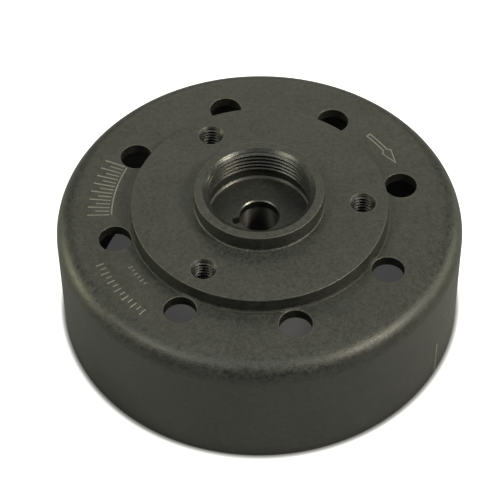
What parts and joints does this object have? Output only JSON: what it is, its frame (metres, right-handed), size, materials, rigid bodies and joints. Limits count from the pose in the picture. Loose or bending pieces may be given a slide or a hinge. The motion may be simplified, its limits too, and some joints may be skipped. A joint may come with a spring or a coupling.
{
  "type": "flywheel",
  "caption": "Cup-shaped magneto flywheel: rounded steel drum with vent holes, raised hub flange, threaded puller collar, keyed taper bore and a ring of magnets inside.",
  "frame": {"origin": "centre of the open rim's plane, on the axis of rotation", "axes": "+Z along the axis of rotation from the open rim towards the threaded collar; +X and +Y in the rim's plane, the keyway lies at -164 degrees from +X"},
  "size_m": [0.104, 0.104, 0.0423],
  "materials": {
    "phosphated_steel": "dark grey-green phosphate over machined steel, satin, lightly oiled",
    "stainless_sheet": "rolled stainless sheet, fine circumferential grain",
    "black_nylon": "moulded black nylon",
    "ferrite": "ground dark grey ferrite",
    "filler_resin": "cast amber-brown filler resin"
  },
  "bodies": {
    "root": {"rotor_cup": "phosphated_steel", "hub": "phosphated_steel", "magnet_sleeve": "stainless_sheet", "magnet_seat_ring": "black_nylon", "magnet_1": "ferrite", "magnet_2": "ferrite", "magnet_3": "ferrite", "magnet_4": "ferrite", "magnet_5": "ferrite", "magnet_6": "ferrite", "magnet_7": "ferrite", "magnet_8": "ferrite", "filler_wedge_1": "filler_resin", "filler_wedge_2": "filler_resin", "filler_wedge_3": "filler_resin", "filler_wedge_4": "filler_resin", "filler_wedge_5": "filler_resin", "filler_wedge_6": "filler_resin", "filler_wedge_7": "filler_resin", "filler_wedge_8": "filler_resin"}
  },
  "joints": []
}
